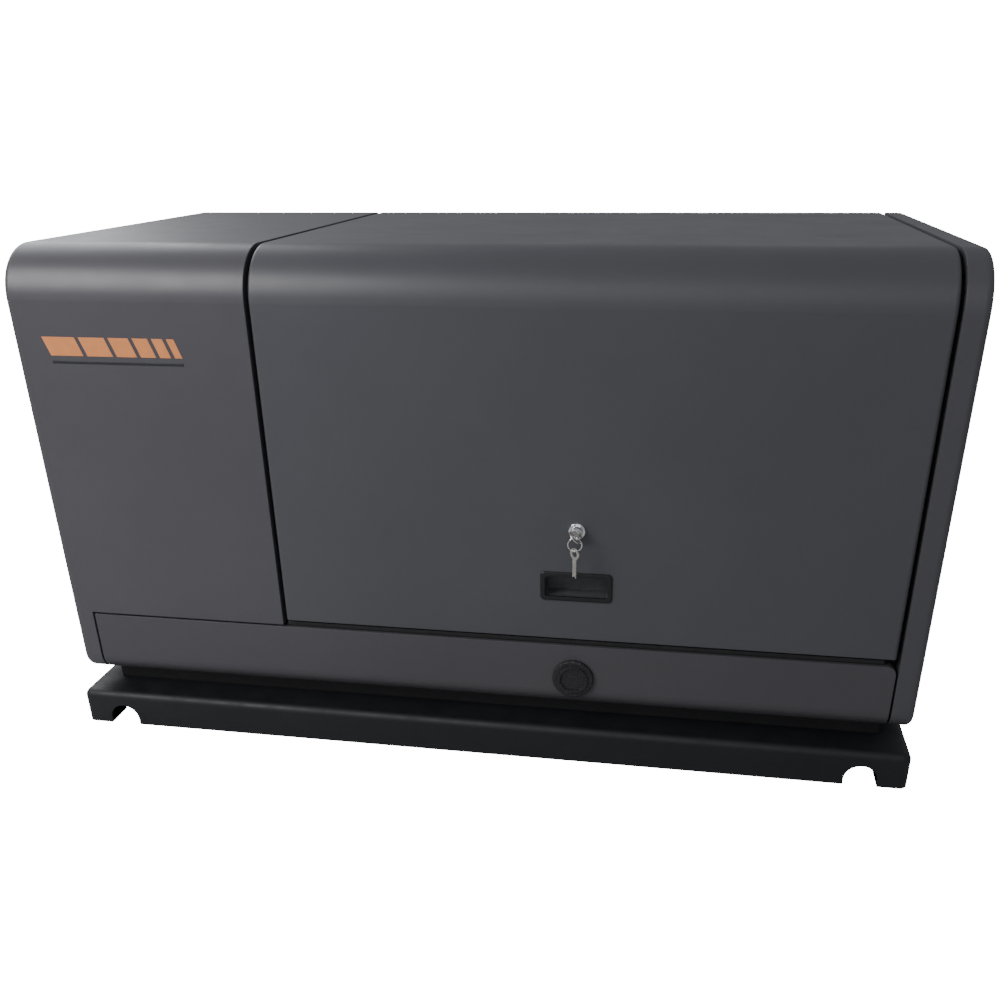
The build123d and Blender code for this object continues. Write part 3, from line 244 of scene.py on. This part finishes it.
def addRelief(material, pattern, output, height):
    # one more relief over the finish's own grain
    tree = material.node_tree
    shader = tree.nodes["Principled BSDF"]
    tree.links.new(objectPlace(tree), pattern.inputs["Vector"])
    before = shader.inputs["Normal"].links[0].from_socket
    tree.links.new(bump(tree, pattern.outputs[output], height, before), shader.inputs["Normal"])


looks = {
    "cabinet_paint": {"color": (0.068, 0.067, 0.075), "rough": (0.38, 0.46), "mottle": (3.0, 0.05),
                      "grain": (900.0, 0.00002), "edge": 0.0016},
    "hood_paint": {"color": (0.065, 0.066, 0.073), "rough": (0.38, 0.46), "mottle": (3.0, 0.06),
                   "grain": (900.0, 0.00002), "edge": 0.0016},
    "sill_paint": {"color": (0.062, 0.06, 0.067), "rough": (0.42, 0.5), "mottle": (5.0, 0.06),
                   "grain": (900.0, 0.00002), "edge": 0.0016},
    "base_paint": {"color": (0.0045, 0.006, 0.008), "rough": (0.5, 0.66), "mottle": (9.0, 0.2),
                   "grain": (420.0, 0.00006)},
    "frame_paint": {"color": (0.012, 0.012, 0.013), "rough": (0.45, 0.6), "mottle": (9.0, 0.15),
                    "grain": (600.0, 0.00004)},
    "zinc": {"color": (0.58, 0.58, 0.57), "rough": (0.28, 0.42), "metal": 0.9, "mottle": (60.0, 0.1),
             "grain": (900.0, 0.00002)},
    "chrome": {"color": (0.82, 0.82, 0.83), "rough": (0.06, 0.16), "metal": 1.0, "mottle": (90.0, 0.04),
               "grain": (1200.0, 0.00001), "edge": 0.0003},
    "key_steel": {"color": (0.6, 0.57, 0.52), "rough": (0.2, 0.36), "metal": 1.0,
                  "mottle": (120.0, 0.12), "grain": (1500.0, 0.00001), "edge": 0.0003},
    "cast_aluminium": {"color": (0.42, 0.42, 0.41), "rough": (0.45, 0.62), "metal": 0.85,
                       "mottle": (14.0, 0.12), "grain": (260.0, 0.0002)},
    "dark_iron": {"color": (0.04, 0.04, 0.043), "rough": (0.4, 0.58), "metal": 0.3,
                  "mottle": (14.0, 0.2), "grain": (300.0, 0.00015)},
    "muffler_steel": {"color": (0.27, 0.25, 0.22), "rough": (0.36, 0.6), "metal": 0.9,
                      "mottle": (9.0, 0.35), "grain": (300.0, 0.0001)},
    "shaft_steel": {"color": (0.5, 0.5, 0.5), "rough": (0.22, 0.34), "metal": 1.0,
                    "mottle": (40.0, 0.05), "grain": (900.0, 0.00002)},
    "rubber": {"color": (0.012, 0.012, 0.013), "rough": (0.6, 0.78), "mottle": (30.0, 0.2),
               "grain": (700.0, 0.00005)},
    "black_plastic": {"color": (0.016, 0.017, 0.018), "rough": (0.38, 0.5), "mottle": (40.0, 0.15),
                      "grain": (1100.0, 0.00004)},
    "grey_plastic": {"color": (0.2, 0.2, 0.205), "rough": (0.42, 0.52), "mottle": (20.0, 0.06),
                     "grain": (800.0, 0.00005)},
    "display_glass": {"color": (0.03, 0.06, 0.055), "rough": (0.05, 0.1), "mottle": (20.0, 0.05),
                      "grain": (300.0, 0.000005), "coat": 0.5},
    "red_plastic": {"color": (0.5, 0.015, 0.012), "rough": (0.22, 0.34), "mottle": (60.0, 0.08),
                    "grain": (900.0, 0.00002)},
    "green_plastic": {"color": (0.015, 0.26, 0.05), "rough": (0.22, 0.34), "mottle": (60.0, 0.08),
                      "grain": (900.0, 0.00002)},
    "yellow_plastic": {"color": (0.7, 0.44, 0.02), "rough": (0.26, 0.4), "mottle": (60.0, 0.08),
                       "grain": (900.0, 0.00002)},
    "gas_yellow": {"color": (0.62, 0.4, 0.02), "rough": (0.35, 0.5), "mottle": (20.0, 0.12),
                   "grain": (500.0, 0.00005)},
    "copper": {"color": (0.42, 0.16, 0.07), "rough": (0.28, 0.44), "metal": 0.9, "mottle": (30.0, 0.2),
               "grain": (500.0, 0.0002)},
}
finishes = {slot: finish(slot, **look) for slot, look in looks.items()}


plugSkin = {
    "look": {"color": (0.014, 0.0135, 0.016), "rough": (0.5, 0.7), "mottle": (60.0, 0.3),
             "grain": (900.0, 0.00004)},
    "pitScale": 240.0,
    "pitWander": 0.55,
    "pitDepth": 0.0012,
}


def pittedRubber():
    # dark rubber with a moulded pattern of small round pits
    material = finish("plugRubber", **plugSkin["look"])
    pits = addNode(material.node_tree, "ShaderNodeTexVoronoi", Scale=plugSkin["pitScale"],
                   Randomness=plugSkin["pitWander"])
    addRelief(material, pits, "Distance", plugSkin["pitDepth"])
    return material


hoodFoam = {
    "look": {"color": (0.02, 0.02, 0.021), "rough": (0.85, 0.98), "mottle": (40.0, 0.25),
             "grain": (380.0, 0.0009), "edge": 0.0},
    "dimpleScale": 34.0,
    "dimpleDepth": 0.006,
}


def dimpledFoam():
    # sound-deadening foam with a pressed grid of soft dimples
    material = finish("foamDimpled", **hoodFoam["look"])
    dimples = addNode(material.node_tree, "ShaderNodeTexVoronoi", feature="SMOOTH_F1",
                      Scale=hoodFoam["dimpleScale"], Randomness=0.0)
    addRelief(material, dimples, "Distance", hoodFoam["dimpleDepth"])
    return material


pullPlastic = {
    "look": {"color": (0.006, 0.0065, 0.007), "rough": (0.34, 0.46), "mottle": (40.0, 0.12),
             "grain": (1100.0, 0.00005)},
    "rimY": -0.3035,
    "cupY": -0.2985,
    # painted light: the lighter grey of the cup stands in for light in its shaded hollow
    "paintedLightColor": (0.075, 0.078, 0.078),
    "cupMottle": (90.0, 0.12),
    "mixSockets": {"share": 0, "first": 6, "second": 7, "result": 2},
}


def cupWithPaintedLight():
    # near-black moulded rim and a cup painted a lighter grey as painted light against the shade in its
    # hollow, told apart by their depth
    material = finish("pullPlastic", **pullPlastic["look"])
    tree = material.node_tree
    shader = tree.nodes["Principled BSDF"]
    split = addNode(tree, "ShaderNodeSeparateXYZ")
    tree.links.new(objectPlace(tree), split.inputs["Vector"])
    depth = addNode(tree, "ShaderNodeMapRange")
    depth.inputs["From Min"].default_value = pullPlastic["rimY"]
    depth.inputs["From Max"].default_value = pullPlastic["cupY"]
    tree.links.new(split.outputs["Y"], depth.inputs["Value"])
    scale, mottling = pullPlastic["cupMottle"]
    paintedLightNoise = noise(tree, scale, everyFinish["wideDetail"], everyFinish["wideSoft"])
    blend = addNode(tree, "ShaderNodeMix", data_type="RGBA")
    socket = pullPlastic["mixSockets"]
    tree.links.new(depth.outputs["Result"], blend.inputs[socket["share"]])
    tree.links.new(shader.inputs["Base Color"].links[0].from_socket, blend.inputs[socket["first"]])
    # the cup's painted light, a lighter grey against the shade of the hollow
    paintedLightCup = mottled(tree, paintedLightNoise, pullPlastic["paintedLightColor"], mottling)
    tree.links.new(paintedLightCup, blend.inputs[socket["second"]])
    tree.links.new(blend.outputs[socket["result"]], shader.inputs["Base Color"])
    return material


finishes["foam"] = dimpledFoam()
ownFinishes = {
    "cable_plug": pittedRubber(),
    "flush_pull": cupWithPaintedLight(),
}

slots = {part["node"]: part["material_slot"] for part in frame["record"]["subparts"]}
for name, node in nodes.items():
    node.data.materials.clear()
    node.data.materials.append(ownFinishes.get(name, finishes[slots[name]]))
print("finishes assigned")


# ---- how the added pieces are made, every size in metres
facing = 0.9                    # a face points along an axis when its normal goes this far along it
smoothAngle = 32.0              # degrees


def moved(place, shift):
    return [a + b for a, b in zip(place, shift)]


def newBlock(low, high):
    bpy.ops.object.select_all(action="DESELECT")
    middle = [(a + b) / 2 for a, b in zip(low, high)]
    bpy.ops.mesh.primitive_cube_add(size=1, location=middle)
    piece = bpy.context.object
    piece.scale = [b - a for a, b in zip(low, high)]
    bpy.ops.object.transform_apply(location=False, rotation=False, scale=True)
    return piece


def newRod(radius, length, place, axis, sides):
    # the rod lies along its own Z until settle() applies its turn
    bpy.ops.object.select_all(action="DESELECT")
    turn = {"X": (0, radians(90), 0), "Y": (radians(90), 0, 0), "Z": (0, 0, 0)}[axis]
    bpy.ops.mesh.primitive_cylinder_add(vertices=sides, radius=radius, depth=length, location=place,
                                        rotation=turn)
    return bpy.context.object


def roundEdges(piece, width, segments=2):
    bevel = piece.modifiers.new("edges", "BEVEL")
    bevel.width = width
    bevel.segments = segments
    bevel.limit_method = "ANGLE"
    bpy.context.view_layer.objects.active = piece
    bpy.ops.object.modifier_apply(modifier=bevel.name)


def pickFaces(piece, test):
    # edit mode with only the faces whose normal passes the test
    bpy.context.view_layer.objects.active = piece
    bpy.ops.object.mode_set(mode="EDIT")
    bpy.ops.mesh.select_mode(type="FACE")
    bpy.ops.mesh.select_all(action="DESELECT")
    bpy.ops.object.mode_set(mode="OBJECT")
    for face in piece.data.polygons:
        face.select = test(face.normal)
    bpy.ops.object.mode_set(mode="EDIT")


def sinkFaces(piece, test, rim, depth):
    # insets the picked faces and moves them along their normal
    pickFaces(piece, test)
    bpy.ops.mesh.inset(thickness=rim, depth=depth)
    bpy.ops.object.mode_set(mode="OBJECT")


def openRing(piece, test, rim):
    # cuts the middle out between two opposite faces and leaves a rim round the hole
    pickFaces(piece, test)
    bpy.ops.mesh.inset(thickness=rim, depth=0)
    bpy.ops.mesh.bridge_edge_loops()
    bpy.ops.object.mode_set(mode="OBJECT")


def topOf(normal):
    return normal.z > facing


def footOf(normal):
    return normal.z < -facing


def endsOf(normal):
    return abs(normal.z) > facing


def selectOnly(pieces):
    bpy.ops.object.select_all(action="DESELECT")
    for piece in pieces:
        piece.select_set(True)
    bpy.context.view_layer.objects.active = pieces[0]


def joinAll(pieces):
    selectOnly(pieces)
    if len(pieces) > 1:
        bpy.ops.object.join()
    return bpy.context.object


def settle(pieces, name, material, body="cabinet"):
    # one mesh with its place in it, smooth where it is round, riding on its body
    piece = joinAll(pieces)
    bpy.ops.object.transform_apply(location=True, rotation=True, scale=True)
    bpy.ops.object.shade_smooth_by_angle(angle=radians(smoothAngle))
    piece.name = name
    piece.data.materials.clear()
    piece.data.materials.append(material)
    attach(piece, body)
    piece.select_set(False)
    return piece


def settleIn(slot, pieces, name):
    settle(pieces, name, finishes[slot])


# six slanted blocks that taper along a thin bar, a plain stripe badge on the fixed cover
badge = {
    "look": {"color": (0.74, 0.27, 0.09), "rough": (0.42, 0.52), "mottle": (70.0, 0.06),
             "grain": (900.0, 0.00001), "edge": 0.0002},
    "left": -0.549,
    "low": 0.551,
    "high": 0.575,
    "front": -0.3025,
    "proud": 0.0005,
    "sunk": 0.0004,
    "slant": 0.009,
    "widths": (0.046, 0.036, 0.028, 0.021, 0.015, 0.010),
    "gap": 0.0055,
    "edge": 0.0002,
    "barLow": 0.541,
    "barHigh": 0.5445,
    "barRight": -0.3655,
}


def addBadge():
    back = badge["front"] + badge["sunk"]
    face = badge["front"] - badge["proud"]
    blocks = []
    x = badge["left"]
    for width in badge["widths"]:
        block = newBlock((x, face, badge["low"]), (x + width, back, badge["high"]))
        pickFaces(block, topOf)
        bpy.ops.transform.translate(value=(-badge["slant"], 0, 0))
        bpy.ops.object.mode_set(mode="OBJECT")
        roundEdges(block, badge["edge"], segments=1)
        blocks.append(block)
        x += width + badge["gap"]
    settle(blocks, "badgeStripes", finish("badgeOrange", **badge["look"]))
    bar = newBlock((badge["left"], face, badge["barLow"]), (badge["barRight"], back, badge["barHigh"]))
    roundEdges(bar, badge["edge"], segments=1)
    settleIn("black_plastic", [bar], "badgeBar")


addBadge()


# the cylinder heads lean to the front and to the back of the crankshaft
engine = {
    "crankY": 0.020,
    "crankZ": 0.270,
    "lean": 45.0,
    "bankX": -0.085,
    "coverTop": 0.288,
}
bolt = {
    "fromMiddle": (0.036, 0.028),
    "radius": 0.0058,
    "height": 0.0045,
    "sunk": 0.0003,
    "sides": 6,
    "chamferShare": 0.22,       # of the radius, for every hexagon head and nut
    "edgeShare": 0.08,
}
boot = {
    "left": -0.019,
    "length": 0.034,
    "radius": 0.0105,
    "y": 0.018,
    "z": 0.235,                 # out from the crankshaft
    "sides": 32,
    "collar": (0.003, 0.004),
    "mouth": (0.0015, 0.002),
    "edge": 0.0012,
}
lead = {
    "radius": 0.0035,
    "inBoot": 0.004,
    "out": 0.022,
    "drop": (0.004, 0.012, -0.05),
    "homeX": -0.012,
    "homeSide": 0.045,
    "homeZ": 0.338,
    "beforeHome": (0.03, 0, 0.006),
    "sides": 4,
    "steps": 10,
    "curveOrder": 3,
}


def leanToBank(piece, side):
    # turns a finished upright piece about the crankshaft on to one bank
    selectOnly([piece])
    bpy.ops.object.transform_apply(location=True, rotation=True, scale=True)
    piece.rotation_euler = (radians(-engine["lean"] * side), 0, 0)
    piece.location = (0, engine["crankY"], engine["crankZ"])
    bpy.ops.object.transform_apply(location=True, rotation=True, scale=True)


def bankPoint(side, x, y, z):
    turn = Euler((radians(-engine["lean"] * side), 0, 0)).to_matrix()
    return turn @ Vector((x, y, z)) + Vector((0, engine["crankY"], engine["crankZ"]))


def newBolt(radius, height, place):
    head = newRod(radius, height, place, "Z", bolt["sides"])
    sinkFaces(head, topOf, radius * bolt["chamferShare"], 0)
    roundEdges(head, radius * bolt["edgeShare"], segments=1)
    return head


def addRockerBolts():
    bolts = []
    apartX, apartY = bolt["fromMiddle"]
    z = engine["coverTop"] + bolt["height"] / 2 - bolt["sunk"]
    for side in (-1, 1):
        for x in (-apartX, apartX):
            for y in (-apartY, apartY):
                head = newBolt(bolt["radius"], bolt["height"], (engine["bankX"] + x, y, z))
                leanToBank(head, side)
                bolts.append(head)
    settleIn("zinc", bolts, "rockerBolts")


def addPlugBoots():
    boots = []
    middle = boot["left"] + boot["length"] / 2
    for side in (-1, 1):
        place = (middle, boot["y"], boot["z"])
        rubber = newRod(boot["radius"], boot["length"], place, "X", boot["sides"])
        sinkFaces(rubber, topOf, *boot["collar"])
        sinkFaces(rubber, footOf, *boot["mouth"])
        roundEdges(rubber, boot["edge"])
        leanToBank(rubber, side)
        boots.append(rubber)
    settleIn("rubber", boots, "plugBoots")


def newTube(points):
    # a bent lead fixed at both ends
    data = bpy.data.curves.new("lead", "CURVE")
    data.dimensions = "3D"
    data.bevel_depth = lead["radius"]
    data.bevel_resolution = lead["sides"]
    data.resolution_u = lead["steps"]
    data.use_fill_caps = True
    line = data.splines.new("NURBS")
    line.points.add(len(points) - 1)
    for point, place in zip(line.points, points):
        point.co = (*place, 1)
    line.order_u = lead["curveOrder"]
    line.use_endpoint_u = True
    tube = bpy.data.objects.new("lead", data)
    bpy.context.scene.collection.objects.link(tube)
    selectOnly([tube])
    bpy.ops.object.convert(target="MESH")
    return bpy.context.object


def addPlugLeads():
    leads = []
    end = boot["left"] + boot["length"] - lead["inBoot"]
    dropX, dropY, dropZ = lead["drop"]
    for side in (-1, 1):
        start = bankPoint(side, end, boot["y"], boot["z"])
        out = start + Vector((lead["out"], 0, 0))
        rise = out + Vector((dropX, -dropY * side, dropZ))
        home = Vector((lead["homeX"], engine["crankY"] + lead["homeSide"] * side, lead["homeZ"]))
        leads.append(newTube([start, out, rise, home + Vector(lead["beforeHome"]), home]))
    settleIn("rubber", leads, "plugLeads")


addRockerBolts()
addPlugBoots()
addPlugLeads()


# worm-drive bands on the two ends of the gas hose
hoseBand = {
    "places": ((-0.040, 0.020, 0.470), (0.339, -0.135, 0.150)),
    "radius": 0.0102,
    "width": 0.010,
    "wall": 0.0009,
    "sides": 48,
    "housingLow": (-0.0045, -0.007, -0.001),        # from the top of the band
    "housingHigh": (0.0045, 0.006, 0.006),
    "housingEdge": 0.0012,
    "screwRadius": 0.0036,
    "screwLength": 0.006,
    "screwShift": (0, -0.009, 0.0025),
    "screwSides": 6,
    "screwRim": 0.001,
    "screwSlot": -0.001,
}


def addHoseBands():
    parts = []
    for place in hoseBand["places"]:
        band = newRod(hoseBand["radius"], hoseBand["width"], place, "X", hoseBand["sides"])
        pickFaces(band, endsOf)
        bpy.ops.mesh.delete(type="FACE")
        bpy.ops.object.mode_set(mode="OBJECT")
        wall = band.modifiers.new("wall", "SOLIDIFY")
        wall.thickness = hoseBand["wall"]
        wall.offset = -1
        bpy.ops.object.modifier_apply(modifier=wall.name)
        top = moved(place, (0, 0, hoseBand["radius"]))
        housing = newBlock(moved(top, hoseBand["housingLow"]), moved(top, hoseBand["housingHigh"]))
        roundEdges(housing, hoseBand["housingEdge"])
        screw = newRod(hoseBand["screwRadius"], hoseBand["screwLength"],
                       moved(top, hoseBand["screwShift"]), "Y", hoseBand["screwSides"])
        sinkFaces(screw, topOf, hoseBand["screwRim"], hoseBand["screwSlot"])
        parts += [band, housing, screw]
    settleIn("zinc", parts, "hoseBands")


addHoseBands()


# control panel: bezel and lit bars on the display, rings round the buttons, screw heads
panel = {
    "front": -0.262,
    "bezelLow": (0.341, 0.476),
    "bezelHigh": (0.439, 0.549),
    "bezelRim": 0.0055,
    "bezelDeep": 0.0048,
    "bezelEdge": 0.0009,
    "barLook": {"color": (0.3, 0.62, 0.42), "rough": (0.2, 0.3), "mottle": (60.0, 0.05),
                "grain": (900.0, 0.000005), "edge": 0.0},
    "bars": ((0.353, 0.528, 0.052), (0.353, 0.514, 0.036), (0.353, 0.500, 0.062)),     # left, low, long
    "barHeight": 0.0055,
    "barY": (-0.2653, -0.2649),
    "barEdge": 0.00015,
}
ring = {
    "x": (0.355, 0.390, 0.425),
    "z": 0.440,
    "inner": 0.0106,
    "outer": 0.0136,
    "deep": 0.0025,
    "edge": 0.0004,
    "sides": 48,
}
screwHead = {
    "places": ((0.338, 0.592), (0.512, 0.592), (0.338, 0.240), (0.512, 0.240)),
    "radius": 0.0042,
    "deep": 0.0022,
    "proud": 0.001,
    "rim": 0.0018,
    "slot": -0.0009,
    "edge": 0.0005,
    "sides": 24,
}


def addDisplayFace():
    x0, z0 = panel["bezelLow"]
    x1, z1 = panel["bezelHigh"]
    bezel = newBlock((x0, panel["front"] - panel["bezelDeep"], z0), (x1, panel["front"], z1))
    openRing(bezel, lambda normal: abs(normal.y) > facing, panel["bezelRim"])
    roundEdges(bezel, panel["bezelEdge"])
    settleIn("black_plastic", [bezel], "displayBezel")
    bars = []
    near, far = panel["barY"]
    for x, z, width in panel["bars"]:
        bar = newBlock((x, near, z), (x + width, far, z + panel["barHeight"]))
        roundEdges(bar, panel["barEdge"], segments=1)
        bars.append(bar)
    settle(bars, "displayBars", finish("litBar", **panel["barLook"]))


def addButtonRings():
    rings = []
    for x in ring["x"]:
        place = (x, panel["front"] - ring["deep"] / 2, ring["z"])
        collar = newRod(ring["outer"], ring["deep"], place, "Y", ring["sides"])
        openRing(collar, endsOf, ring["outer"] - ring["inner"])
        roundEdges(collar, ring["edge"])
        rings.append(collar)
    settleIn("black_plastic", rings, "buttonRings")


def addScrewHeads():
    heads = []
    for x, z in screwHead["places"]:
        place = (x, panel["front"] - screwHead["proud"], z)
        head = newRod(screwHead["radius"], screwHead["deep"], place, "Y", screwHead["sides"])
        sinkFaces(head, topOf, screwHead["rim"], screwHead["slot"])
        roundEdges(head, screwHead["edge"])
        heads.append(head)
    settleIn("zinc", heads, "panelScrewHeads")


addDisplayFace()
addButtonRings()
addScrewHeads()


# hold-down strap over the battery, with a nut at each end
strap = {
    "x": (0.430, 0.452),
    "y": (0.0145, 0.2335),
    "top": 0.2805,
    "foot": 0.099,
    "thick": 0.0025,
    "edge": 0.0006,
    "nutX": 0.441,
    "nutY": (0.03, 0.218),
    "nutRadius": 0.0065,
    "nutHeight": 0.005,
    "nutLift": 0.002,
}


def addStrap():
    x0, x1 = strap["x"]
    y0, y1 = strap["y"]
    thick = strap["thick"]
    top = strap["top"]
    parts = [
        newBlock((x0, y0, top), (x1, y1, top + thick)),
        newBlock((x0, y0, strap["foot"]), (x1, y0 + thick, top + thick / 2)),
        newBlock((x0, y1 - thick, strap["foot"]), (x1, y1, top + thick / 2)),
    ]
    for part in parts:
        roundEdges(part, strap["edge"])
    for y in strap["nutY"]:
        place = (strap["nutX"], y, top + thick + strap["nutLift"])
        parts.append(newBolt(strap["nutRadius"], strap["nutHeight"], place))
    settleIn("zinc", parts, "batteryStrap")


addStrap()


# spring clips on the air cleaner's lid
clip = {
    "x": (-0.125, -0.045),
    "half": 0.007,
    "sides": ((-0.052, -1), (0.092, 1)),        # the case's front and back, and which way each faces
    "low": 0.524,
    "high": 0.556,
    "sunk": 0.0004,
    "proud": 0.0022,
    "rim": 0.003,
    "dish": -0.0008,
    "edge": 0.0004,
    "hookRadius": 0.0022,
    "hookProud": 0.0018,
    "hookSides": 16,
    "hookEdge": 0.0005,
}


def newClip(x, y, way):
    near = y - clip["sunk"] * way
    far = y + clip["proud"] * way
    plate = newBlock((x - clip["half"], min(near, far), clip["low"]),
                     (x + clip["half"], max(near, far), clip["high"]))
    sinkFaces(plate, lambda normal: normal.y * way > facing, clip["rim"], clip["dish"])
    roundEdges(plate, clip["edge"])
    hookPlace = (x, y + clip["hookProud"] * way, clip["high"])
    hook = newRod(clip["hookRadius"], clip["half"] * 2, hookPlace, "X", clip["hookSides"])
    roundEdges(hook, clip["hookEdge"])
    return [plate, hook]


def addClips():
    parts = []
    for x in clip["x"]:
        for y, way in clip["sides"]:
            parts += newClip(x, y, way)
    settleIn("zinc", parts, "cleanerClips")


addClips()
print("added pieces ready")
